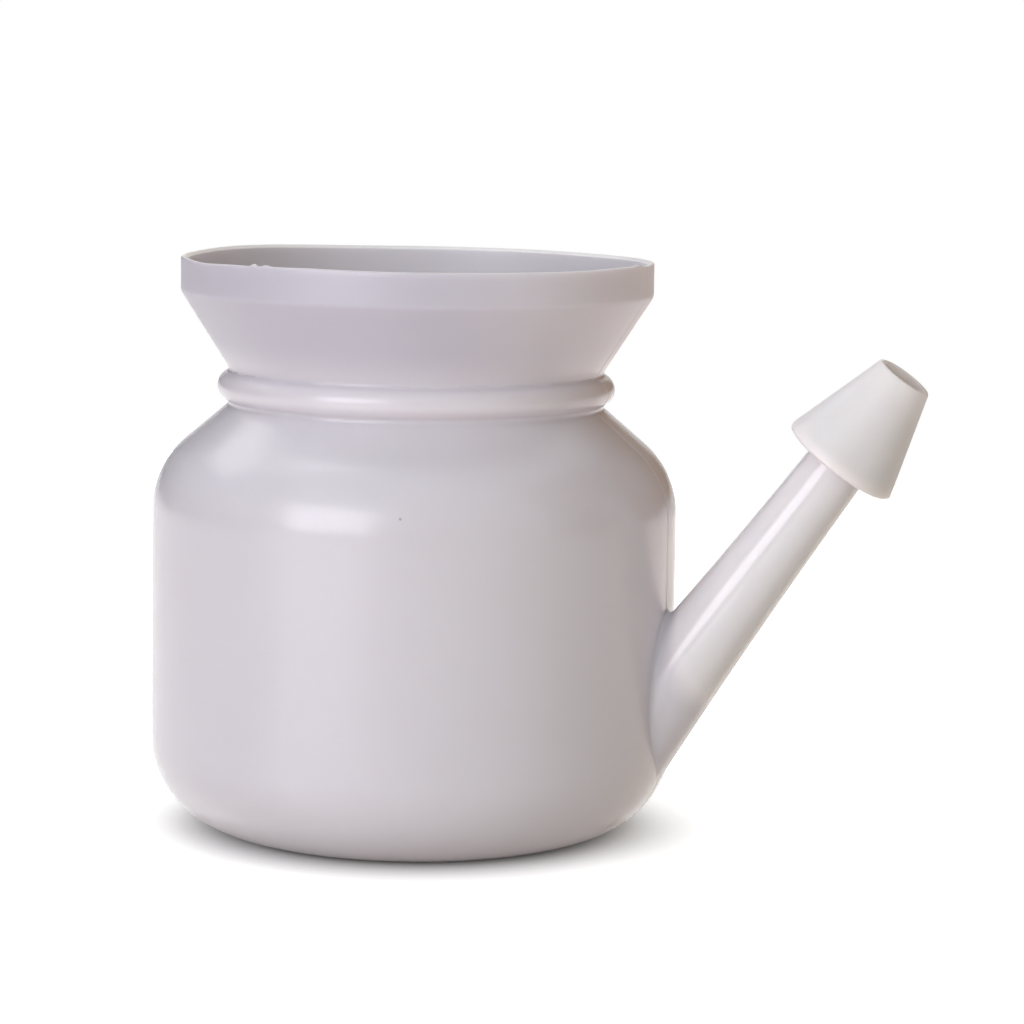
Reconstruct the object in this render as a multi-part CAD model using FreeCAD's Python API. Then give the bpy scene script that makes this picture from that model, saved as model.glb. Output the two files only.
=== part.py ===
"""A neti pot, blown in one piece from milky polyethylene: a squat round pot with a bead rolled
round its neck, a flared mouth with an upright collar, a spout that rises from low on the wall,
and a hollow cone at the spout's end that seats in the nostril.

Millimetres. The origin is the centre of the base on the floor, +Z is up, and the spout rises
in the XZ plane towards +X. Outlines lie in the XZ plane, x being the radius. The wall is one
skin, so each outline is worked out twice: at 0 for the outside and at the wall's thickness for
the hollow inside it.
"""
import FreeCAD
import Part
import math
import os

V = FreeCAD.Vector
UP = V(0, 0, 1)

# The skin
wall = 1.2
cone_wall = 1.0                      # drawn thinner along the cone

# The body, turned about the Z axis
body_radius = 48.0
corner_radius = 16.5                 # the rounded bottom corner
push_up = 2.2                        # shallow dome that lifts the middle of the base
push_up_radius = 26.0
shoulder_start = 58.3                # the upright wall ends here
shoulder_radius = 16.7
shoulder_turn = math.radians(49.5)   # how far the shoulder curves in before it runs straight

# The neck, a rounded bead between two grooves
bead_centre = V(33.45, 0, 81.05)
bead_radius = 2.85
groove_radius = 0.7

# The mouth, a straight funnel that ends in an upright collar
funnel_foot = V(35.2, 0, 85.85)      # a point on the funnel's outside
collar_radius = 43.0
collar_low = 98.3
collar_round = 2.0
mouth_height = 104.9                 # the highest place of the trimmed rim
rim_cut = 0.6                        # sloping trim inside the rim
rim_round = 0.35                     # soft outer edge of the rim

# The spout, turned about its own axis. Distances along it start at the wall's radius.
spout_height = 28.1
spout_tilt = math.radians(54.3)      # above the floor
spout_length = 52.6
spout_end_radius = 5.62
spout_root = -17.0                   # the tube starts inside the body
spout_root_radius = 9.45
flare_place = 14.0                   # the tube flares on its way down: where the straight
flare_radius = 6.85                  # runs of its two ends would meet
root_round = 1.2                     # between the spout and the body

# The cone
cone_length = 19.3
cone_base_radius = 11.05
cone_tip_radius = 5.2
cone_base_round = 0.6
cone_neck_round = 0.5
cone_tip_round = 0.35

tolerance = 1e-4                     # for telling whether two places are the same


def unit(angle):
    """The direction at an angle above the floor, in the XZ plane."""
    return V(math.cos(angle), 0, math.sin(angle))


def outward(direction):
    """The normal on the right of a direction, which is the outside of an upward outline."""
    return V(direction.z, 0, -direction.x)


def on_circle(point, direction, centre, radius, side):
    """Where a line meets a circle: side -1 is the first place along it, 1 the second."""
    along = (centre - point).dot(direction)
    off = (centre - point - direction * along).Length
    return point + direction * (along + side * math.sqrt(radius ** 2 - off ** 2))


def meet(p, d, q, e):
    """Where the line through p along d crosses the line through q along e."""
    k = ((q.x - p.x) * e.z - (q.z - p.z) * e.x) / (d.x * e.z - d.z * e.x)
    return p + d * k


def arc(p, q, centre, radius):
    """The short arc from p to q about a centre."""
    middle = ((p - centre).normalize() + (q - centre).normalize()).normalize()
    return Part.Arc(p, centre + middle * radius, q).toShape()


def base_edges(skin):
    """Domed push-up, flat standing ring and rounded bottom corner."""
    dome_radius = (push_up_radius ** 2 + push_up ** 2) / (2 * push_up)
    dome_centre = V(0, 0, push_up - dome_radius)
    dome_top = V(0, 0, push_up + skin)
    dome_foot = on_circle(V(0, 0, skin), V(1, 0, 0), dome_centre, dome_radius + skin, 1)
    corner_centre = V(body_radius - corner_radius, 0, corner_radius)
    corner_foot = V(corner_centre.x, 0, skin)
    corner_top = V(body_radius - skin, 0, corner_radius)
    return [
        arc(dome_top, dome_foot, dome_centre, dome_radius + skin),
        Part.makeLine(dome_foot, corner_foot),
        arc(corner_foot, corner_top, corner_centre, corner_radius - skin),
    ]


def side_edges(skin):
    """Upright wall, shoulder, groove, bead, groove, funnel and collar, all in tangent runs."""
    turn_centre = V(body_radius - shoulder_radius, 0, shoulder_start)
    slope_out = unit(shoulder_turn)
    slope = V(-slope_out.z, 0, slope_out.x)
    slope_start = turn_centre + slope_out * shoulder_radius
    funnel = (V(collar_radius, 0, collar_low) - funnel_foot).normalize()
    funnel_out = outward(funnel)

    # A groove's centre is its own radius off the straight run and touches the bead
    reach = bead_radius + groove_radius
    low = on_circle(slope_start + slope_out * groove_radius, slope, bead_centre, reach, -1)
    high = on_circle(funnel_foot + funnel_out * groove_radius, funnel, bead_centre, reach, 1)
    to_low = (low - bead_centre).normalize()
    to_high = (high - bead_centre).normalize()

    # The collar's rounding touches the funnel and the upright collar from inside
    collar_centre = meet(funnel_foot - funnel_out * collar_round, funnel,
                         V(collar_radius - collar_round, 0, 0), UP)

    wall_foot = V(body_radius - skin, 0, corner_radius)
    wall_top = V(body_radius - skin, 0, shoulder_start)
    turn_end = turn_centre + slope_out * (shoulder_radius - skin)
    low_in = low - slope_out * (groove_radius + skin)
    low_out = bead_centre + to_low * (bead_radius - skin)
    high_in = bead_centre + to_high * (bead_radius - skin)
    high_out = high - funnel_out * (groove_radius + skin)
    round_in = collar_centre + funnel_out * (collar_round - skin)
    round_out = collar_centre + V(collar_round - skin, 0, 0)
    return [
        Part.makeLine(wall_foot, wall_top),
        arc(wall_top, turn_end, turn_centre, shoulder_radius - skin),
        Part.makeLine(turn_end, low_in),
        arc(low_in, low_out, low, groove_radius + skin),
        arc(low_out, high_in, bead_centre, bead_radius - skin),
        arc(high_in, high_out, high, groove_radius + skin),
        Part.makeLine(high_out, round_in),
        arc(round_in, round_out, collar_centre, collar_round - skin),
    ] + rim_edges(skin, round_out)


def rim_edges(skin, start):
    """Up the collar to the trimmed rim: soft on the outside, cut on a slope on the inside."""
    if skin:
        cut_foot = V(start.x, 0, mouth_height - rim_cut)
        cut_edge = V(start.x + rim_cut, 0, mouth_height)
        return [Part.makeLine(start, cut_foot), Part.makeLine(cut_foot, cut_edge)]
    centre = V(start.x - rim_round, 0, mouth_height - rim_round)
    side = V(start.x, 0, centre.z)
    top = V(centre.x, 0, mouth_height)
    return [Part.makeLine(start, side), arc(side, top, centre, rim_round)]


def turned(edges):
    """The solid that an open outline, listed from bottom to top, sweeps about the Z axis."""
    start = edges[0].valueAt(edges[0].FirstParameter)
    end = edges[-1].valueAt(edges[-1].LastParameter)
    axis_low = V(0, 0, start.z)
    axis_high = V(0, 0, end.z)
    closing = [Part.makeLine(end, axis_high), Part.makeLine(axis_high, axis_low)]
    if start.x > 0:
        closing.append(Part.makeLine(axis_low, start))
    outline = Part.Wire(Part.__sortEdges__(edges + closing))
    return Part.Face(outline).revolve(V(0, 0, 0), UP, 360)


def body_solid(skin):
    return turned(base_edges(skin) + side_edges(skin))


def spout_solid(skin, side_skin):
    """The spout and its cone, turned upright about the Z axis and then tilted into place."""
    root = V(spout_root_radius - skin, 0, spout_root)
    flare = V(flare_radius - skin, 0, flare_place)
    end = V(spout_end_radius - skin, 0, spout_length)
    tube_end = end + UP * skin
    tip_level = V(0, 0, spout_length + cone_length)
    side = V(cone_tip_radius - cone_base_radius, 0, cone_length).normalize()
    on_side = V(cone_tip_radius, 0, tip_level.z) - outward(side) * side_skin
    base_corner = meet(on_side, side, tube_end, V(1, 0, 0))
    tip_corner = meet(on_side, side, tip_level, V(1, 0, 0))
    tube = Part.BezierCurve()
    tube.setPoles([root, flare, end])
    edges = [tube.toShape()]
    if skin:
        edges.append(Part.makeLine(end, tube_end))
    edges += [Part.makeLine(tube_end, base_corner), Part.makeLine(base_corner, tip_corner)]
    roundings = [(tube_end, cone_neck_round + skin), (base_corner, cone_base_round)]
    if not skin:
        roundings.append((tip_corner, cone_tip_round))
    solid = turned(edges)
    for point, radius in roundings:
        solid = solid.makeFillet(radius, [ring_at(solid, point)])
    solid.rotate(V(0, 0, 0), V(0, 1, 0), 90 - math.degrees(spout_tilt))
    solid.translate(V(body_radius, 0, spout_height))
    return solid


def ring_at(solid, point):
    """The circular edge about the Z axis that runs through a point of the outline."""
    for edge in solid.Edges:
        if isinstance(edge.Curve, Part.Circle):
            centre = edge.Curve.Center
            if abs(centre.z - point.z) < tolerance and abs(edge.Curve.Radius - point.x) < tolerance:
                return edge


def joined(body, spout, radius):
    """Body and spout as one volume, with the crease between them rounded."""
    whole = body.fuse(spout)
    crease = [edge for edge in whole.Edges if on_both(edge, body, spout)]
    return whole.makeFillet(radius, crease)


def on_both(edge, body, spout):
    """Whether the middle of an edge lies on the surfaces of both volumes."""
    middle = Part.Vertex(edge.valueAt((edge.FirstParameter + edge.LastParameter) / 2))
    return all(middle.distToShape(s.Shells[0])[0] < tolerance for s in (body, spout))


def neti_pot():
    outside = joined(body_solid(0), spout_solid(0, 0), root_round)
    hollow = joined(body_solid(wall), spout_solid(wall, cone_wall), root_round + wall)
    return outside.cut(hollow)


pot = neti_pot()
print("neti_pot valid", pot.isValid(), "solids", len(pot.Solids), "faces", len(pot.Faces))
print("neti_pot plastic", round(pot.Volume), "mm3, box", pot.BoundBox)
os.makedirs("parts", exist_ok=True)
pot.exportStep("parts/neti_pot.step")
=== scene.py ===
import math

import bpy
import numpy as np
from mathutils import Euler, Matrix, Vector


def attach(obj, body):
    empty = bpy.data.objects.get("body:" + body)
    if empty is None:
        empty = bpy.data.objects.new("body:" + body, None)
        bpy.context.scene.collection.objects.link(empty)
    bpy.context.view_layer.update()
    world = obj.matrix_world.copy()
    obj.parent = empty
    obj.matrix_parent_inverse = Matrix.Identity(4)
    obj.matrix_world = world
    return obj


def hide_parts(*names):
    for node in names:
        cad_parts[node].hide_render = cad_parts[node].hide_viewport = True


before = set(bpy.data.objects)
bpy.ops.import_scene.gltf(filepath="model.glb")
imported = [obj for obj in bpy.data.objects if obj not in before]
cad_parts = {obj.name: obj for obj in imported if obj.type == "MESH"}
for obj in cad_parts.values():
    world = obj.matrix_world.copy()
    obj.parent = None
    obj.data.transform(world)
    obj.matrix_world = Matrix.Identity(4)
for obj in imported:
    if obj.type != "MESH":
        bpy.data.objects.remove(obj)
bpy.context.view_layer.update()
print("frame loaded:", sorted(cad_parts))

metre = 1000.0  # shapes below are in millimetres, meshes in metres


# Points of a section, as (radius, height)
def straight(start, end, steps):
    # Even places on a line: start + share * (end - start)
    share = np.linspace(0, 1, steps + 1)[:, None]
    start, end = np.asarray(start, float), np.asarray(end, float)
    return start + share * (end - start)


def bend(centre, radius, fromWay, toWay, steps):
    # Even places on an arc: centre + radius * (cos a, sin a), with a running the short way round
    # from the direction fromWay to the direction toWay
    first = np.arctan2(fromWay[1], fromWay[0])
    turn = (np.arctan2(toWay[1], toWay[0]) - first + np.pi) % (2 * np.pi) - np.pi
    angle = first + turn * np.linspace(0, 1, steps + 1)
    return np.asarray(centre, float) + radius * np.stack([np.cos(angle), np.sin(angle)], -1)


def unit(way):
    # A direction of length one
    way = np.asarray(way, float)
    return way / np.linalg.norm(way)


def outOf(way):
    # The side on the right of an upward run, which is the outside of the plastic
    return np.array([way[1], -way[0]])


def touch(point, way, centre, reach, side):
    # Where a line comes within reach of a centre: side -1 is the first such place, 1 the second
    point, centre = np.asarray(point, float), np.asarray(centre, float)
    along = np.dot(centre - point, way)
    off = np.linalg.norm(centre - point - along * np.asarray(way))
    return point + np.asarray(way) * (along + side * math.sqrt(reach**2 - off**2))


def meet(p, d, q, e):
    # Where the line through p along d crosses the line through q along e
    k = ((q[0] - p[0]) * e[1] - (q[1] - p[1]) * e[0]) / (d[0] * e[1] - d[1] * e[0])
    return np.asarray(p, float) + k * np.asarray(d, float)


# The pot, in millimetres and degrees
pot = {
    "wall": 1.2,
    "radius": 48.0,
    "corner": 16.5,  # radius of the bottom corner
    "pushUp": 2.2,  # the base's middle is lifted by this
    "pushUpRadius": 26.0,
    "shoulderStart": 58.3,
    "shoulderRadius": 16.7,
    "shoulderTurn": 49.5,  # degrees that the shoulder curves in before it runs straight
    "bead": (33.45, 81.05),
    "beadRadius": 2.85,
    "grooveRadius": 0.7,
    "funnelFoot": (35.2, 85.85),
    "collarRadius": 43.0,
    "collarLow": 98.3,
    "collarRound": 2.0,
    "mouth": 104.9,
    "rimCut": 0.6,  # slope left by the trimming knife
    "rimRound": 0.35,
    # where the spout's own surface takes over: degrees to each side, and reach up the wall,
    # counted from the top of the bottom corner
    "windowHalf": 18.0,
    "windowLow": -16.0,
    "windowHigh": 36.0,
    "windowSteps": 36,
    "columnStep": 1.8,  # degrees between columns
    "besideParting": (0.25, 0.5, 0.8, 1.2),  # and closer ones beside the parting line
    # rows in each run of the section
    "rows": {
        "dome": 12, "ring": 3, "below": 5, "above": 4, "shoulder": 14, "slope": 7, "groove": 6,
        "bead": 22, "funnel": 10, "collarBend": 5, "collar": 6, "rim": 4,
    },
    "cutRows": 3,  # rows nearer than this to the rim's cut get a painted highlight
    "sharp": 40,  # degrees past which an edge stays sharp
    # rows from the window's edge to the crease, round the crease, and along the tube
    "patchRows": 9,
    "patchEase": 0.8,  # below 1 the patch's rows crowd towards the crease
    "creaseRows": 6,
    "tubeRows": 34,
}


def wallPlace(reach, skin):
    # Radius and height at a reach up the outside. Below zero it is an angle reach / corner on the
    # corner's arc, above it a height on the upright wall.
    angle = np.clip(reach / pot["corner"], -np.pi / 2, 0)
    radius = pot["radius"] - pot["corner"] + (pot["corner"] - skin) * np.cos(angle)
    height = pot["corner"] + (pot["corner"] - skin) * np.sin(angle) + np.maximum(reach, 0)
    return radius, height


def wallReach(height, skin):
    # The reach at a height, the other way round
    sine = np.clip((height - pot["corner"]) / (pot["corner"] - skin), -1, 0)
    onCorner = pot["corner"] * np.arcsin(sine)
    return np.where(height < pot["corner"], onCorner, height - pot["corner"])


def section(skin):
    # The pot's section from the middle of its base to its rim: dome, standing ring, corner, wall,
    # shoulder, slope, groove, bead, groove, funnel and collar. All arcs keep their centres, and
    # their radii change by skin. Also the number of the row where the spout's window starts.
    p, rows = pot, pot["rows"]
    domeRadius = (p["pushUpRadius"] ** 2 + p["pushUp"] ** 2) / (2 * p["pushUp"])
    domeCentre = np.array([0, p["pushUp"] - domeRadius])
    domeFoot = touch((0, skin), (1, 0), domeCentre, domeRadius + skin, 1)
    dome = bend(domeCentre, domeRadius + skin, (0, 1), domeFoot - domeCentre, rows["dome"])[1:]
    ring = straight(domeFoot, (p["radius"] - p["corner"], skin), rows["ring"])[1:]

    lowEnd, wallEnd = -p["corner"] * np.pi / 2, p["shoulderStart"] - p["corner"]
    below = np.linspace(lowEnd, p["windowLow"], rows["below"] + 1)[1:]
    beside = np.linspace(p["windowLow"], p["windowHigh"], p["windowSteps"] + 1)[1:]
    above = np.linspace(p["windowHigh"], wallEnd, rows["above"] + 1)[1:]
    wall = np.stack(wallPlace(np.concatenate([below, beside, above]), skin), -1)
    windowStart = len(dome) + len(ring) + len(below) - 1

    turn = math.radians(p["shoulderTurn"])
    slopeOut = np.array([math.cos(turn), math.sin(turn)])
    slope = np.array([-math.sin(turn), math.cos(turn)])
    shoulderCentre = np.array([p["radius"] - p["shoulderRadius"], p["shoulderStart"]])
    shoulderSize = p["shoulderRadius"] - skin
    shoulder = bend(shoulderCentre, shoulderSize, (1, 0), slopeOut, rows["shoulder"])[1:]

    bead, groove, foot = np.array(p["bead"]), p["grooveRadius"], np.array(p["funnelFoot"])
    funnelTop = np.array([p["collarRadius"], p["collarLow"]])
    funnel = unit(funnelTop - foot)
    funnelOut = outOf(funnel)
    reach = p["beadRadius"] + groove
    slopeStart = shoulderCentre + slopeOut * p["shoulderRadius"]
    low = touch(slopeStart + slopeOut * groove, slope, bead, reach, -1)
    high = touch(foot + funnelOut * groove, funnel, bead, reach, 1)
    lowGroove = bend(low, groove + skin, -slopeOut, bead - low, rows["groove"])
    beadArc = bend(bead, p["beadRadius"] - skin, low - bead, high - bead, rows["bead"])[1:]
    highGroove = bend(high, groove + skin, bead - high, -funnelOut, rows["groove"])[1:]
    slopeRun = straight(shoulder[-1], lowGroove[0], rows["slope"])[1:]

    collarSide = (p["collarRadius"] - p["collarRound"], 0)
    collarCentre = meet(foot - funnelOut * p["collarRound"], funnel, collarSide, (0, 1))
    collarSize = p["collarRound"] - skin
    collarBend = bend(collarCentre, collarSize, funnelOut, (1, 0), rows["collarBend"])
    funnelRun = straight(highGroove[-1], collarBend[0], rows["funnel"])[1:-1]
    side, top = p["collarRadius"] - skin, p["mouth"]
    if skin:
        rimFoot = (side, top - p["rimCut"])
        rim = straight(rimFoot, (side + p["rimCut"], top), rows["rim"])[1:]
    else:
        rimFoot, size = (side, top - p["rimRound"]), p["rimRound"]
        rim = bend((side - size, top - size), size, (1, 0), (0, 1), rows["rim"])[1:]
    collar = straight(collarBend[-1], rimFoot, rows["collar"])[1:]
    runs = [dome, ring, wall, shoulder, slopeRun, lowGroove[1:], beadArc, highGroove]
    runs += [funnelRun, collarBend, collar, rim]
    return np.concatenate(runs), windowStart, p["pushUp"] + skin


def anglesRound():
    # Angles of the columns round the pot: even ones, and closer ones beside the parting line and
    # where the trimming knife left burrs
    even = np.arange(-180, 180, pot["columnStep"])
    beside = np.array(pot["besideParting"])
    parting = np.concatenate([beside, -beside, 180 - beside, beside - 180])
    return np.radians(np.unique(np.round(np.concatenate([even, parting, burrColumns]), 4)))


# The spout and its cone, about its own axis
spout = {
    "height": 28.1,  # its axis leaves the wall here
    "tilt": 54.3,  # degrees above the floor
    "length": 52.6,
    "endRadius": 5.62,
    "root": -17.0,
    "rootRadius": 9.45,
    "flarePlace": 14.0,
    "flareRadius": 6.85,
    "rootRound": 0.7,
    "searchTo": 0.9,  # share of the tube within which it leaves the wall,
    "halvings": 40,  # and how often that is halved to find the place
    "coneLength": 19.3,
    "coneBase": 11.05,
    "coneTip": 5.2,
    "coneWall": 1.0,
    "coneBaseRound": 0.6,
    "coneNeckRound": 0.5,
    "coneTipRound": 0.35,
    "coneEdgeRound": 0.08,  # the inner edge of the tip, which is nearly sharp
    "coneRoundRows": 6,
    "coneLongest": 1.6,  # the cone's rows are closer than this
    "tieBreak": 0.01,  # weight of the radius in picking the cone's highest row
    "straightFrom": 0.97,  # share of the tube past which it is as good as straight
}
tilt = math.radians(spout["tilt"])
spoutAxis = np.array([math.cos(tilt), 0, math.sin(tilt)])
spoutUpper = np.array([-math.sin(tilt), 0, math.cos(tilt)])
spoutFoot = np.array([pot["radius"], 0, spout["height"]])
sideways = np.array([0, 1, 0])


def intoPlace(radius, along, around):
    # From the spout's axis to the pot: foot + along * axis + radius * (cos around * upper side
    # + sin around * Y)
    across = np.cos(around)[..., None] * spoutUpper + np.sin(around)[..., None] * sideways
    return spoutFoot + along[..., None] * spoutAxis + radius[..., None] * across


def tubeLine(share, skin):
    # The tube's side as (radius, distance): the curve a (1-t)^2 + 2 b t (1-t) + c t^2, and the
    # way out of it, a quarter turn from its slope
    a = np.array([spout["rootRadius"] - skin, spout["root"]])
    b = np.array([spout["flareRadius"] - skin, spout["flarePlace"]])
    c = np.array([spout["endRadius"] - skin, spout["length"]])
    t = share[..., None]
    place = a * (1 - t) ** 2 + 2 * b * t * (1 - t) + c * t**2
    slope = (b - a) * (1 - t) + (c - b) * t
    steepness = np.linalg.norm(slope, axis=-1, keepdims=True)
    return place, np.stack([slope[..., 1], -slope[..., 0]], -1) / steepness


def offWall(place, skin):
    # How far a place stands off the skin's wall, and the way out: distance from the circle of the
    # corner or the shoulder, or between them from the axis, less that radius
    across = np.hypot(place[..., 0], place[..., 1])
    height = place[..., 2]
    low, high = height < pot["corner"], height > pot["shoulderStart"]
    notLow = np.where(high, pot["shoulderRadius"], pot["radius"])
    size = np.where(low, pot["corner"], notLow)
    outward = across - (pot["radius"] - size)
    upward = height - np.clip(height, pot["corner"], pot["shoulderStart"])
    far = np.hypot(outward, upward)
    way = np.stack([outward * place[..., 0] / across, outward * place[..., 1] / across, upward], -1)
    return far - (size - skin), way / far[..., None]


def springing(around, skin):
    # Where the spout leaves the wall. A ball that rounds the crease rolls in it, touching tube and
    # wall; halving finds how far along the tube it sits at each angle round it.
    ball = spout["rootRound"] + skin
    near, away = np.zeros_like(around), np.full_like(around, spout["searchTo"])
    for _ in range(spout["halvings"]):
        share = (near + away) / 2
        place, out = tubeLine(share, skin)
        ballPlace = intoPlace(*np.moveaxis(place + ball * out, -1, 0), around)
        inside = offWall(ballPlace, skin)[0] < ball
        near, away = np.where(inside, share, near), np.where(inside, away, share)
    return share, ballPlace


def creaseRows(share, ballPlace, around, skin, steps):
    # The rounding between wall and tube: ball centre + ball radius * a direction that swings from
    # the wall's foot to the tube's foot
    ball = spout["rootRound"] + skin
    toWall = -offWall(ballPlace, skin)[1]
    place = tubeLine(share, skin)[0]
    toTube = (intoPlace(place[:, 0], place[:, 1], around) - ballPlace) / ball
    angle = np.arccos(np.clip((toWall * toTube).sum(-1), -1, 1))[:, None]
    s = np.linspace(0, 1, steps + 1)[:, None, None]
    swing = (np.sin((1 - s) * angle) * toWall + np.sin(s * angle) * toTube) / np.sin(angle)
    return ballPlace + ball * swing


def patchRows(edgeAngle, edgeReach, foot, skin, steps):
    # The wall between the window's edge and the crease's foot: angle and reach are
    # edge + s * (foot - edge), and the place is read off the wall, so the patch lies on it
    footAngle = np.arctan2(foot[:, 1], foot[:, 0])
    footReach = wallReach(foot[:, 2], skin)
    s = np.linspace(0, 1, steps + 1)[1:-1, None] ** pot["patchEase"]
    angle = edgeAngle + s * (footAngle - edgeAngle)
    radius, height = wallPlace(edgeReach + s * (footReach - edgeReach), skin)
    return np.stack([radius * np.cos(angle), radius * np.sin(angle), height], -1)


def softened(corners, roundings, steps):
    # A bent line with rounded corners: each arc starts radius * tan(half the turn) before its
    # corner
    places = [corners[0]]
    for before, corner, after, radius in zip(corners, corners[1:], corners[2:], roundings):
        come, go = unit(corner - before), unit(after - corner)
        cross = come[0] * go[1] - come[1] * go[0]
        back = radius * math.tan(math.acos(np.clip(np.dot(come, go), -1, 1)) / 2)
        start, end = corner - come * back, corner + go * back
        centre = start + math.copysign(radius, cross) * np.array([-come[1], come[0]])
        places.extend(bend(centre, radius, start - centre, end - centre, steps))
    return np.array(places + [corners[-1]])


def filled(places, longest):
    # The same line with long runs cut into even shorter ones
    counts = np.ceil(np.linalg.norm(np.diff(places, axis=0), axis=1) / longest).astype(int).clip(1)
    runs = [straight(a, b, n)[1:] for a, b, n in zip(places, places[1:], counts)]
    return np.concatenate([places[:1], *runs])


def nozzleLine():
    # The section of the cone at the spout's end, from the outside of the tube round the hollow
    # tip to the inside of the tube
    s, wall = spout, pot["wall"]
    outer, inner = (tubeLine(np.array([s["straightFrom"]]), skin)[0][0] for skin in (0, wall))
    tipLevel = s["length"] + s["coneLength"]
    neck, base = np.array([s["endRadius"], s["length"]]), np.array([s["coneBase"], s["length"]])
    tip = np.array([s["coneTip"], tipLevel])
    side = unit(tip - base)
    onInside = tip - outOf(side) * s["coneWall"]
    innerTip = meet(onInside, side, (0, tipLevel), (1, 0))
    innerBase = meet(onInside, side, (0, s["length"] + wall), (1, 0))
    innerNeck = np.array([s["endRadius"] - wall, s["length"] + wall])
    corners = [outer, neck, base, tip, innerTip, innerBase, innerNeck, inner]
    rounds = [
        s["coneNeckRound"], s["coneBaseRound"], s["coneTipRound"], s["coneEdgeRound"],
        s["coneBaseRound"], s["coneNeckRound"] + wall,
    ]
    return filled(softened(corners, rounds, s["coneRoundRows"]), s["coneLongest"])


# Marks of the mould and the knife
marks = {
    "rimDrop": 0.5,  # the rim is trimmed this far below the mouth's highest place
    # waves of the trimmed rim: degrees round the pot, spread in degrees, rise
    "rimWaves": [
        (157, 24, 0.48), (-135, 8, -0.25), (-98, 13, 0.18), (-15, 12, 0.22), (52, 20, -0.12),
    ],
    # burrs on it, as the waves, and the nib where the mould's halves meet
    "burrs": [(-114.1, 0.8, 0.42), (-110.4, 1.1, 0.3), (-6, 3.2, 0.28)],
    "burrColumns": (-117.0, -107.0, 0.45),  # closer columns there: from, to and step, in degrees
    "rimSteady": 1.0,  # the topmost part that moves as a whole with the rim
    "partingRise": 0.1,  # ridge along the XZ plane, where the mould's halves meet
    "partingWidth": 0.32,
    "partingDip": 3.0,  # width of the shallow dip that the ridge stands in
    "pinchRise": 0.35,  # the weld across the base, where the mould pinched the hose of plastic
    "pinchWidth": 0.55,
    "pinchReach": (18.0, 22.0),  # it fades out between these distances from the middle
    "pinchTop": (1.8, 2.4),  # and between these heights, so it stays under the base,
    "pinchPast": 4.0,  # as far as this past the push-up
    "sway": 0.07,  # how far the blown wall wanders inwards
    # its main wave is one round the pot times one up it, each as turns or millimetres for a
    # radian, and start; two more run aslant, as turns, millimetres and strength
    "swayRound": (2, 0.4),
    "swayUp": (17, 0.8),
    "swayAslant": [(5, 23, 0.6), (3, -9, 0.4)],
    # it comes in between these heights, goes out between these, and spares the spout
    "swayLow": (6, 18),
    "swayHigh": (88, 98),
    "swayRadius": (48, 50),
}
burrColumns = np.arange(*marks["burrColumns"])


def ramp(value, start, end):
    # 0 up to start, 1 past end, even between them: (value - start) / (end - start), held at 0 and 1
    return np.clip((value - start) / (end - start), 0, 1)


def bell(distance, width):
    # exp(-(distance / width)^2)
    return np.exp(-((distance / width) ** 2))


def rimRise(angle):
    # The rim's height round the pot: less the drop, plus bell curves rise * exp(-(turn / spread)^2)
    rise = np.full_like(angle, -marks["rimDrop"])
    for middle, spread, high in marks["rimWaves"] + marks["burrs"]:
        turn = (np.degrees(angle) - middle + 180) % 360 - 180
        rise = rise + high * bell(turn, spread)
    return np.minimum(rise, 0)


def trimmed(places):
    # Above the funnel the height grows by the rim's rise, more and more towards the rim
    steady = pot["mouth"] - marks["rimSteady"]
    share = ramp(places[:, 2], pot["collarLow"], steady)
    angle = np.arctan2(places[:, 1], places[:, 0])
    moved = places.copy()
    moved[:, 2] += share**2 * (3 - 2 * share) * rimRise(angle)
    return moved


def relief(places):
    # How far the outside stands proud, along its normal: the parting line's ridge in its dip,
    # exp(-(y / width)^2) less exp(-(y / dip)^2), the pinched weld under the base, and slow waves
    # inwards, sway * (wave / 2 - 1) / 2
    x, y, z = places.T
    across, turn = np.hypot(x, y), np.arctan2(y, x)
    ridge = bell(y, marks["partingWidth"]) - bell(y, marks["partingDip"])
    edge = pot["pushUpRadius"] + marks["pinchPast"]
    underneath = (1 - ramp(z, *marks["pinchTop"])) * (across < edge)
    weld = bell(y, marks["pinchWidth"]) * (1 - ramp(np.abs(x), *marks["pinchReach"]))
    (turns, start), (rise, offset) = marks["swayRound"], marks["swayUp"]
    wave = np.sin(turns * turn + start) * np.sin(z / rise + offset)
    for turns, rise, strength in marks["swayAslant"]:
        wave = wave + strength * np.sin(turns * turn + z / rise)
    onWall = ramp(z, *marks["swayLow"]) * (1 - ramp(z, *marks["swayHigh"]))
    onWall = onWall * (1 - ramp(across, *marks["swayRadius"]))
    low = marks["sway"] * (wave / 2 - 1) / 2 * onWall  # the waves of -2 to 2 become -1 to 0
    parting = marks["partingRise"] * ridge * (1 - underneath)
    return parting + marks["pinchRise"] * weld * underneath + low


# All of it as one closed skin
def windowEdge(left, middle, right, low, high):
    # Rows and columns once round the window's edge, from the middle of its top towards +Y
    edgeRow = np.concatenate([
        np.full(right - middle, high), np.arange(high, low, -1), np.full(right - left, low),
        np.arange(low, high), np.full(middle - left, high),
    ])
    edgeColumn = np.concatenate([
        np.arange(middle, right), np.full(high - low, right), np.arange(right, left, -1),
        np.full(high - low, left), np.arange(left, middle),
    ])
    return edgeRow, edgeColumn


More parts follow.
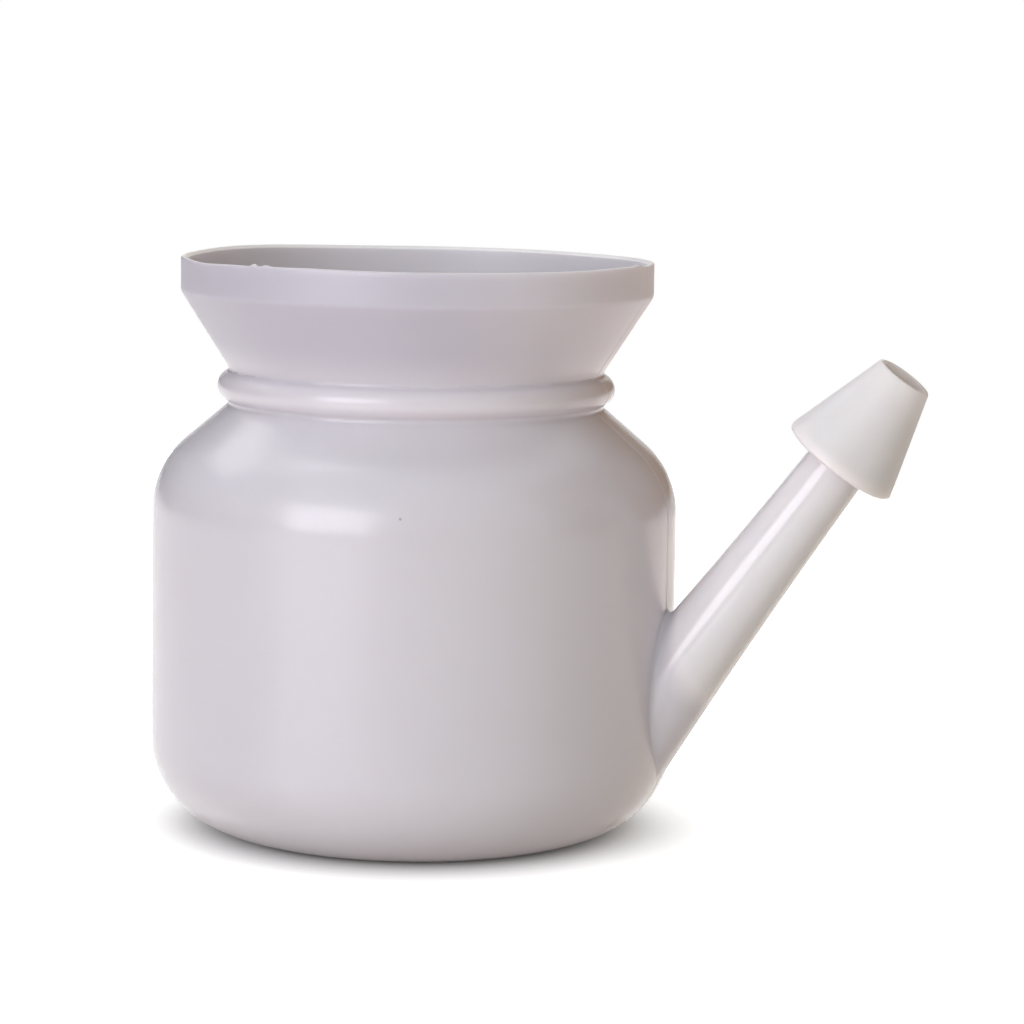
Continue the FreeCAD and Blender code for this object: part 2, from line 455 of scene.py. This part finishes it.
def sleeveRows(edgeAngle, edgeReach):
    # The spout's skin from the outside's window to the inside's: patch of wall, crease and tube,
    # the cone, then tube, crease and patch again. The angle round the spout is the length walked
    # along the window's edge over its whole length, times 2 pi. Also which rows are outside, and
    # each place's distance along the spout times the share of the tube's rows behind it, so that
    # it is 0 at the crease on every side.
    flat = np.stack([edgeAngle * pot["radius"], edgeReach], -1)
    walked = np.cumsum(np.linalg.norm(np.roll(flat, -1, 0) - flat, axis=1))
    around = np.concatenate([[0], walked[:-1]]) * 2 * np.pi / walked[-1]
    skins = []
    for skin in (0, pot["wall"]):
        share, ballPlace = springing(around, skin)
        crease = creaseRows(share, ballPlace, around, skin, pot["creaseRows"])
        patch = patchRows(edgeAngle, edgeReach, crease[0], skin, pot["patchRows"])
        steps = np.linspace(0, 1, pot["tubeRows"] + 1)[1:, None]
        along = share + steps * (spout["straightFrom"] - share)
        line = tubeLine(along, skin)[0]
        tube = intoPlace(line[..., 0], line[..., 1], np.broadcast_to(around, along.shape))
        skins.append(np.concatenate([patch, crease, tube]))
    nozzle = nozzleLine()[1:-1]
    radius, level = (np.repeat(nozzle[:, i:i + 1], len(around), 1) for i in (0, 1))
    cone = intoPlace(radius, level, np.broadcast_to(around, radius.shape))
    sleeve = np.concatenate([skins[0], cone, skins[1][::-1]])

    # the cone's highest row, and of several the one nearest the axis, is the last one outside
    tipRow = int(np.argmax(nozzle[:, 1] - spout["tieBreak"] * nozzle[:, 0]))
    isOuter = np.arange(len(sleeve)) < len(skins[0]) + tipRow
    behind = np.arange(len(skins[0])) - len(patch) - len(crease) + 1
    behind = np.clip(behind / len(tube), 0, 1)
    behind = np.concatenate([behind, np.ones(len(cone)), behind[::-1]])[:, None]
    return sleeve, isOuter, behind * np.maximum((sleeve - spoutFoot) @ spoutAxis, 0)


def blownSkin():
    # The section turned about Z, (r cos a, r sin a, height), up the outside and down the inside,
    # with a window in both and the spout's sleeve from one window to the other. Also each place's
    # share of the outside, its distance along the spout and its share of the cut rim.
    angles = anglesRound()
    (outside, start, outPole), (inside, _, inPole) = (section(skin) for skin in (0, pot["wall"]))
    rows = np.concatenate([outside, inside[::-1]])
    count, columns = len(rows), len(angles)
    turned = np.stack([
        rows[:, :1] * np.cos(angles), rows[:, :1] * np.sin(angles),
        np.repeat(rows[:, 1:], columns, 1),
    ], -1).reshape(-1, 3)
    number = np.arange(count * columns).reshape(count, columns)
    outPoleNumber, inPoleNumber = count * columns, count * columns + 1

    # faces between the rows, but for the window in the outside and the same in the inside
    half = math.radians(pot["windowHalf"])
    left, middle, right = (int(np.argmin(np.abs(angles - a))) for a in (-half, 0, half))
    low, high = start, start + pot["windowSteps"]
    nextColumn = np.roll(np.arange(columns), -1)
    beyond = number[:, nextColumn]
    quads = np.stack([number[:-1], beyond[:-1], beyond[1:], number[1:]], -1)
    kept = np.ones((count - 1, columns), bool)
    kept[low:high, left:right] = False
    kept[count - 1 - high:count - 1 - low, left:right] = False
    quads = quads[kept]
    fans = [
        np.stack([np.full(columns, outPoleNumber), beyond[0], number[0]], -1),
        np.stack([np.full(columns, inPoleNumber), number[-1], beyond[-1]], -1),
    ]

    # the sleeve, its first row being the outside's window and its last the inside's
    edgeRow, edgeColumn = windowEdge(left, middle, right, low, high)
    reaches = np.linspace(pot["windowLow"], pot["windowHigh"], pot["windowSteps"] + 1)
    sleeve, isOuter, along = sleeveRows(angles[edgeColumn], reaches[edgeRow - low])
    sleeveNumber = np.concatenate([
        number[edgeRow, edgeColumn][None],
        inPoleNumber + 1 + np.arange(along.size).reshape(along.shape),
        number[count - 1 - edgeRow, edgeColumn][None],
    ])
    after = np.roll(sleeveNumber, -1, 1)
    sleeveQuads = np.stack([sleeveNumber[:-1], sleeveNumber[1:], after[1:], after[:-1]], -1)
    places = np.concatenate([turned, [[0, 0, outPole], [0, 0, inPole]], sleeve.reshape(-1, 3)])
    faces = quads.tolist() + sleeveQuads.reshape(-1, 4).tolist()

    outer, onSpout, onCut = np.zeros((3, len(places)))
    outer[number[:len(outside)].ravel()] = 1
    outer[outPoleNumber] = 1
    outer[inPoleNumber + 1:] = np.repeat(isOuter, sleeve.shape[1])
    onSpout[inPoleNumber + 1:] = along.ravel()
    # the rows by the rim's cut carry a painted highlight
    cutRows = np.abs(np.arange(count) - len(outside) - 1) < pot["cutRows"]
    onCut[number[cutRows].ravel()] = 1
    return places, faces + fans[0].tolist() + fans[1].tolist(), outer, onSpout, onCut


places, faces, outer, onSpout, onCut = blownSkin()
places = trimmed(places)
skinMesh = bpy.data.meshes.new("blownSkin")
skinMesh.from_pydata((places / metre).tolist(), [], faces)
normals = np.zeros(len(places) * 3)
skinMesh.vertex_normals.foreach_get("vector", normals)
places = places + (relief(places) * outer)[:, None] * normals.reshape(-1, 3)
skinMesh.vertices.foreach_set("co", (places / metre).ravel())
for name, values in (("outside", outer), ("alongSpout", onSpout), ("rimCut", onCut)):
    skinMesh.attributes.new(name, "FLOAT", "POINT").data.foreach_set("value", values)
skinMesh.shade_smooth()
skinMesh.set_sharp_from_angle(angle=math.radians(pot["sharp"]))
skinMesh.validate()
skin = bpy.data.objects.new("blownSkin", skinMesh)
bpy.context.scene.collection.objects.link(skin)
print("skin made:", len(places), "places,", len(faces), "faces")


# Milky plastic
plastic = {
    "milk": (0.662, 0.63, 0.68),
    "milkDeep": (0.622, 0.59, 0.635),
    # the spout is painted whiter, a painted glow standing in for light that shines through its thin
    # tube: millimetres past its crease, and heights in metres, over which that painted glow comes
    # in
    "spoutGlowTone": (0.93, 0.83, 0.845),
    "spoutFrom": (0, 1.5),
    "spoutAbove": (0.014, 0.027),
    # above the bead the skin is painted greyer and bluer as shade, but not on the spout's side:
    # heights and places along X, in metres, between which the painted shade comes in
    "mouthShadeTone": (0.467, 0.462, 0.535),
    "mouthFrom": (0.081, 0.091),
    "shadeUpTo": (0.043, 0.012),
    # painted shade: the inside is darker and bluer than the plastic, as it lies in shade
    "insideShadeTone": (0.53, 0.535, 0.58),
    "rimHighlightTone": (0.84, 0.83, 0.85),  # painted highlight where the knife cut the rim
    # the cone keeps the spout's painted glow, a little browner
    "coneGlowTone": (0.89, 0.81, 0.805),
    "coneFade": 2,  # millimetres to each side of the tube's end
    "roughness": 0.205,
    "mouthRoughness": 0.38,
    "insideRoughness": 0.38,
    "tubeRoughness": 0.09,
    "coneRoughness": 0.42,
    "hazeAdds": 0.06,  # to the roughness, at most
    "lightBending": 1.5,
    "translucence": 0.8,
    "depth": 0.006,  # metres that light wanders in it, and the share of that for each colour
    "depthShares": (1.0, 0.85, 0.8),
    "speck": (12.0, -46.0, 62.8),  # a dark grain in the plastic, in millimetres
    "speckSize": 0.2,
    "speckTone": (0.12, 0.1, 0.1),
    "speckShare": 0.45,
    # noises, as scale and detail
    "cloud": (28, 3),
    "haze": (160, 5),
    "peel": (420, 2),
    "unevenness": (55, 1),
    # what they raise, as strength and height in metres
    "peelRise": (0.25, 0.00002),
    "unevennessRise": (0.5, 0.0002),
}


def addNode(tree, kind, x, y, **settings):
    # A node at a place in the editor, with its settings
    made = tree.nodes.new(kind)
    made.location = (x, y)
    for name, value in settings.items():
        setattr(made, name, value)
    return made


def give(tree, socket, given):
    # Another node's output is linked, a colour gets its alpha, and a number is written down
    if isinstance(given, bpy.types.NodeSocket):
        tree.links.new(given, socket)
    elif socket.type == "RGBA":
        socket.default_value = (*given, 1)
    else:
        socket.default_value = given


def reckon(tree, operation, first, second, x, y, **settings):
    # first + second, first - second or first * second
    node = addNode(tree, "ShaderNodeMath", x, y, operation=operation, **settings)
    give(tree, node.inputs[0], first)
    give(tree, node.inputs[1], second)
    return node.outputs[0]


def fade(tree, value, span, x, y, shares=(0, 1)):
    # A smooth step from the first share to the second as the value crosses the span:
    # t^2 * (3 - 2t), with t the part of the span that is behind it
    step = addNode(tree, "ShaderNodeMapRange", x, y, interpolation_type="SMOOTHSTEP")
    for name, number in zip(("From Min", "From Max", "To Min", "To Max"), (*span, *shares)):
        step.inputs[name].default_value = number
    tree.links.new(value, step.inputs["Value"])
    return step.outputs["Result"]


def blend(tree, kind, share, before, after, x, y):
    # before * (1 - share) + after * share, of two colours (RGBA) or two numbers (FLOAT)
    mix = addNode(tree, "ShaderNodeMix", x, y, data_type=kind)
    for name, given in (("Factor", share), ("A", before), ("B", after)):
        give(tree, mix.inputs[name], given)
    return mix.outputs["Result"]


def noise(tree, where, name, x, y):
    # Noise on the Object coordinates
    made = addNode(tree, "ShaderNodeTexNoise", x, y)
    made.inputs["Scale"].default_value, made.inputs["Detail"].default_value = plastic[name]
    tree.links.new(where, made.inputs["Vector"])
    return made.outputs["Fac"]


def raised(tree, height, name, x, y):
    # The surface raised by a height of 0 to 1 times the named distance
    made = addNode(tree, "ShaderNodeBump", x, y)
    made.inputs["Strength"].default_value, made.inputs["Distance"].default_value = plastic[name]
    tree.links.new(height, made.inputs["Height"])
    return made


def emptyTree(owner):
    # The nodes of a new material or world, with none in it yet
    owner.use_nodes = True
    owner.node_tree.nodes.clear()
    return owner.node_tree


def milkyPlastic():
    # One plastic for the whole skin. Its tone and gloss are mixed step by step from those of its
    # parts, by height, by place along X and by the skin's three attributes.
    material = bpy.data.materials.new("milkyPlastic")
    tree = emptyTree(material)
    link = tree.links.new
    surface = addNode(tree, "ShaderNodeBsdfPrincipled", 800, 0)
    out = addNode(tree, "ShaderNodeOutputMaterial", 1100, 0)
    link(surface.outputs["BSDF"], out.inputs["Surface"])
    where = addNode(tree, "ShaderNodeTexCoord", -1300, 0).outputs["Object"]
    place = addNode(tree, "ShaderNodeSeparateXYZ", -1100, 600)
    link(where, place.inputs[0])
    along, outside, cut = (
        addNode(tree, "ShaderNodeAttribute", -1100, y, attribute_name=name).outputs["Fac"]
        for name, y in (("alongSpout", 400), ("outside", 1000), ("rimCut", 1200))
    )

    # where things are, each as a share: the mouth, its painted shade, the spout, the part of it
    # with a painted glow, the cone and the inside
    atMouth = fade(tree, place.outputs["Z"], plastic["mouthFrom"], -850, 800)
    awaySide = fade(tree, place.outputs["X"], plastic["shadeUpTo"], -850, 600)
    mouthShadeShare = reckon(tree, "MULTIPLY", atMouth, awaySide, -600, 700)
    # share of the spout's painted glow, which stops short of its foot
    onSpout = fade(tree, along, plastic["spoutFrom"], -850, 400)
    aboveFoot = fade(tree, place.outputs["Z"], plastic["spoutAbove"], -850, 200)
    spoutGlowShare = reckon(tree, "MULTIPLY", onSpout, aboveFoot, -600, 300)
    coneStart = (spout["length"] - plastic["coneFade"], spout["length"] + plastic["coneFade"])
    isCone = fade(tree, along, coneStart, -850, 1000)
    notInside = reckon(tree, "ADD", outside, isCone, -600, 1000)
    isInside = reckon(tree, "SUBTRACT", 1, notInside, -420, 1000, use_clamp=True)

    # cloudy milk, two close tones mixed by slow noise. Painted shade makes it greyer round the
    # mouth and darker and bluer inside, a painted glow makes it whiter on the spout and a little
    # browner on the cone, and a painted highlight makes it white where the rim is cut.
    cloud = noise(tree, where, "cloud", -850, 0)
    tone = blend(tree, "RGBA", cloud, plastic["milkDeep"], plastic["milk"], -600, 0)
    tones = (
        (mouthShadeShare, "mouthShadeTone"), (spoutGlowShare, "spoutGlowTone"), (isCone, "coneGlowTone"),
        (isInside, "insideShadeTone"), (cut, "rimHighlightTone"),
    )
    for number, (share, name) in enumerate(tones):
        tone = blend(tree, "RGBA", share, tone, plastic[name], 180 * number - 400, 200)

    # one dark grain
    grain = addNode(tree, "ShaderNodeVectorMath", -850, -200, operation="DISTANCE")
    grain.inputs[1].default_value = tuple(v / metre for v in plastic["speck"])
    link(where, grain.inputs[0])
    size = plastic["speckSize"] / metre
    shares = (plastic["speckShare"], 0)
    near = fade(tree, grain.outputs["Value"], (size, size * 2), -600, -200, shares)
    speckled = blend(tree, "RGBA", near, tone, plastic["speckTone"], 550, 200)
    link(speckled, surface.inputs["Base Color"])

    # gloss: the tube is shinier than the body, the funnel, the cone and the inside are matter,
    # and fine noise breaks it up
    gloss = plastic["roughness"]
    glosses = (
        (atMouth, "mouthRoughness"), (onSpout, "tubeRoughness"), (isCone, "coneRoughness"),
        (isInside, "insideRoughness"),
    )
    for number, (share, name) in enumerate(glosses):
        gloss = blend(tree, "FLOAT", share, gloss, plastic[name], 180 * number - 400, -200)
    haze = noise(tree, where, "haze", -850, -450)
    hazy = addNode(tree, "ShaderNodeMath", 400, -300, operation="MULTIPLY_ADD")
    for socket, given in zip(hazy.inputs, (haze, plastic["hazeAdds"], gloss)):
        give(tree, socket, given)
    link(hazy.outputs["Value"], surface.inputs["Roughness"])

    # skin of blown plastic: a faint orange peel over slow unevenness
    peel = raised(tree, noise(tree, where, "peel", -850, -700), "peelRise", 0, -600)
    unevenness = noise(tree, where, "unevenness", -850, -950)
    uneven = raised(tree, unevenness, "unevennessRise", 250, -700)
    link(peel.outputs["Normal"], uneven.inputs["Normal"])
    link(uneven.outputs["Normal"], surface.inputs["Normal"])

    surface.inputs["IOR"].default_value = plastic["lightBending"]
    surface.inputs["Subsurface Weight"].default_value = plastic["translucence"]
    surface.inputs["Subsurface Radius"].default_value = plastic["depthShares"]
    surface.inputs["Subsurface Scale"].default_value = plastic["depth"]
    return material


skin.data.materials.append(milkyPlastic())
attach(skin, "root")
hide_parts("neti_pot")
print("plastic made")


# Camera, floor, surroundings and lamps
camera = {
    "place": (190.8, -600.7, 140.2),
    "spoutTurn": 16.0,  # degrees that the spout comes towards the camera
    "down": 7.42,
    "roll": 0.96,
    "lens": 121.54,
    "sensor": 36.0,
    "clip": (0.01, 20),  # metres
}
spoutTurn = math.radians(camera["spoutTurn"])


def addCamera():
    # Tilted down from the horizon, turned about Z by the spout's turn, then rolled about its view
    data = bpy.data.cameras.new("camera")
    data.lens, data.sensor_width = camera["lens"], camera["sensor"]
    data.clip_start, data.clip_end = camera["clip"]
    made = bpy.data.objects.new("camera", data)
    bpy.context.scene.collection.objects.link(made)
    aim = Euler((math.radians(90 - camera["down"]), 0, spoutTurn)).to_matrix()
    turn = (aim @ Matrix.Rotation(math.radians(camera["roll"]), 3, "Z")).to_4x4()
    made.matrix_world = Matrix.Translation(Vector(camera["place"]) / metre) @ turn
    bpy.context.scene.camera = made


room = {
    "floorSize": 1.1,
    "floorBounce": (0.59, 0.55, 0.49),  # its colour as the light meets it
    # the floor's own white dims near the pot as a painted shadow
    "floorSeen": 0.4,  # and to the camera, on top of a white of its own that
    "floorReach": 0.028,  # dims within this many metres of the pot,
    "floorOpen": 1.33,  # where less than one part in this many of the air is open
    "floorShine": 0.35,  # roughness of the sheen in which the pot's side sees the window again
    # tones of the light from the walls beside the pot, from behind it, from the camera's side
    # and from above
    "leftWall": (0.06, 0.055, 0.05),
    "rightWall": (0.27, 0.13, 0.03),
    "behind": (0.1, 0.1, 0.1),
    "front": (1.2, 1.15, 1.06),
    "above": (0.59, 0.6, 0.58),
    # shares of the way towards the camera, and upwards, over which the last two come in
    "frontFade": (0.2, 0.95),
    "aboveFade": (0.1, 0.6),
    "wallAside": 1.0,  # metres from the pot to each wall, how far each runs towards the camera and
    "wallRun": (-0.5, 4.0),  # away from it, and its height
    "wallHeight": 1.3,
    "lampsAim": (0.01, 0, 0.055),  # metres, in the middle of the pot
}


def flatPiece(name, corners, finish):
    # One face between four corners, and the empty node tree of its finish
    mesh = bpy.data.meshes.new(name)
    mesh.from_pydata(corners, [], [(0, 1, 2, 3)])
    piece = bpy.data.objects.new(name, mesh)
    bpy.context.scene.collection.objects.link(piece)
    material = bpy.data.materials.new(finish)
    mesh.materials.append(material)
    return piece, emptyTree(material)


def either(tree, share, first, second, x, y):
    # Two shaders mixed: first * (1 - share) + second * share
    mix = addNode(tree, "ShaderNodeMixShader", x, y)
    for socket, given in zip(mix.inputs, (share, first, second)):
        tree.links.new(given, socket)
    return mix.outputs[0]


def seenDirectly(tree, x, y):
    # 1 for what the camera sees, also in a mirror or through glass: the sum of the three kinds of
    # ray, held at 1
    rays = addNode(tree, "ShaderNodeLightPath", x, y).outputs
    two = reckon(tree, "ADD", rays["Is Camera Ray"], rays["Is Glossy Ray"], x + 200, y)
    three = reckon(tree, "ADD", two, rays["Is Transmission Ray"], x + 380, y, use_clamp=True)
    return rays, three


def whiteFloor():
    # A square on the floor's plane. What the camera sees is white of strength 1, times the share of
    # open air round the place, which paints a soft shadow round the pot's foot, plus a plain white
    # that takes the pot's real shadow from the lamps. Gloss sees a sheen on it as well, and all
    # other light its colour.
    half = room["floorSize"] / 2
    corners = [(-half, -half, 0), (half, -half, 0), (half, half, 0), (-half, half, 0)]
    floor, tree = flatPiece("floor", corners, "floorWhite")
    link = tree.links.new
    bounce = addNode(tree, "ShaderNodeBsdfDiffuse", 0, 400)
    bounce.inputs["Color"].default_value = (*room["floorBounce"], 1)
    rays, seen = seenDirectly(tree, -900, 400)
    # painted shadow: the white dims where the pot shuts out the open air
    openAir = addNode(tree, "ShaderNodeAmbientOcclusion", -400, 0)
    openAir.inputs["Distance"].default_value = room["floorReach"]
    air = openAir.outputs["AO"]
    share = reckon(tree, "MULTIPLY", air, room["floorOpen"], -200, 0, use_clamp=True)
    white = addNode(tree, "ShaderNodeEmission", 0, 0)
    link(share, white.inputs["Strength"])
    plain = addNode(tree, "ShaderNodeBsdfDiffuse", 0, 200)
    onTop = reckon(tree, "MULTIPLY", rays["Is Camera Ray"], room["floorSeen"], -200, 200)
    link(onTop, plain.inputs["Color"])
    shine = addNode(tree, "ShaderNodeBsdfAnisotropic", 0, -200)
    shine.inputs["Roughness"].default_value = room["floorShine"]
    link(rays["Is Glossy Ray"], shine.inputs["Color"])
    sheet = plain.outputs[0]
    for layer in (white, shine):
        both = addNode(tree, "ShaderNodeAddShader", 250, layer.location[1])
        link(sheet, both.inputs[0])
        link(layer.outputs[0], both.inputs[1])
        sheet = both.outputs[0]
    surface = either(tree, seen, bounce.outputs[0], sheet, 500, 200)
    link(surface, addNode(tree, "ShaderNodeOutputMaterial", 700, 200).inputs["Surface"])


def surroundings():
    # The world: pure white to the camera, and for the light a soft room with its own tone behind
    # the pot, towards the camera and above. Each tone fades in with the direction's share along
    # a way, which is their dot product.
    world = bpy.data.worlds.new("room")
    bpy.context.scene.world = world
    tree = emptyTree(world)
    link = tree.links.new
    where = addNode(tree, "ShaderNodeTexCoord", -900, 0)
    toCamera = (math.sin(spoutTurn), -math.cos(spoutTurn), 0)
    tone = room["behind"]
    for number, (name, way) in enumerate((("front", toCamera), ("above", (0, 0, 1)))):
        x, y = 200 * number, -300 * number
        along = addNode(tree, "ShaderNodeVectorMath", x - 650, y, operation="DOT_PRODUCT")
        along.inputs[1].default_value = way
        link(where.outputs["Generated"], along.inputs[0])
        share = fade(tree, along.outputs["Value"], room[name + "Fade"], x - 450, y)
        tone = blend(tree, "RGBA", share, tone, room[name], x - 250, y)
    light = addNode(tree, "ShaderNodeBackground", 300, 0)
    link(tone, light.inputs["Color"])
    white = addNode(tree, "ShaderNodeBackground", 300, -200)
    white.inputs["Color"].default_value = (1, 1, 1, 1)
    seen = seenDirectly(tree, 0, 400)[1]
    surface = either(tree, seen, light.outputs[0], white.outputs[0], 600, 0)
    link(surface, addNode(tree, "ShaderNodeOutputWorld", 900, 0).inputs["Surface"])


def sideWall(name, side):
    # A wall beside the camera's view, which gives the pot's edges something to mirror. The camera
    # looks through it.
    right = np.array([math.cos(spoutTurn), math.sin(spoutTurn), 0])
    away = np.array([-math.sin(spoutTurn), math.cos(spoutTurn), 0])
    foot = [right * side * room["wallAside"] + away * run for run in room["wallRun"]]
    up = np.array([0, 0, room["wallHeight"]])
    wall, tree = flatPiece(name, [foot[0], foot[1], foot[1] + up, foot[0] + up], name)
    glow = addNode(tree, "ShaderNodeEmission", 0, 0)
    glow.inputs["Color"].default_value = (*room[name], 1)
    clear = addNode(tree, "ShaderNodeBsdfTransparent", 0, -150)
    seen = addNode(tree, "ShaderNodeLightPath", 0, 350).outputs["Is Camera Ray"]
    surface = either(tree, seen, glow.outputs[0], clear.outputs[0], 250, 0)
    out = addNode(tree, "ShaderNodeOutputMaterial", 500, 0)
    tree.links.new(surface, out.inputs["Surface"])


# each lamp: degrees to the right of the camera as seen from the pot, degrees above the floor,
# metres away, width and height, watts, colour
lamps = {
    "window": (-37, 17, 1.1, 0.74, 0.57, 6.8, (1.0, 0.96, 1.06)),
    "farWindow": (-126, 39, 1.1, 0.6, 0.3, 1.1, (1.0, 0.97, 0.98)),
    "ceiling": (-115, 69, 1.3, 0.5, 0.5, 1.7, (1.0, 0.98, 1.06)),
}


def addLamps():
    # Each lamp stands at aim + away * way and looks back at the aim, the way being
    # (sin turn * cos up, -cos turn * cos up, sin up)
    for name, (right, above, away, width, height, watts, colour) in lamps.items():
        turn = spoutTurn + math.radians(right)
        up = math.radians(above)
        way = (math.sin(turn) * math.cos(up), -math.cos(turn) * math.cos(up), math.sin(up))
        data = bpy.data.lights.new(name, "AREA")
        data.shape, data.size, data.size_y = "RECTANGLE", width, height
        data.energy, data.color = watts, colour
        made = bpy.data.objects.new(name, data)
        bpy.context.scene.collection.objects.link(made)
        made.location = Vector(room["lampsAim"]) + Vector(way) * away
        made.rotation_mode = "QUATERNION"
        made.rotation_quaternion = (-Vector(way)).to_track_quat("-Z", "Y")


whiteFloor()
surroundings()
sideWall("leftWall", -1)
sideWall("rightWall", 1)
addCamera()
addLamps()
bpy.context.scene.view_settings.view_transform = "Standard"
print("room, camera and lamps made")
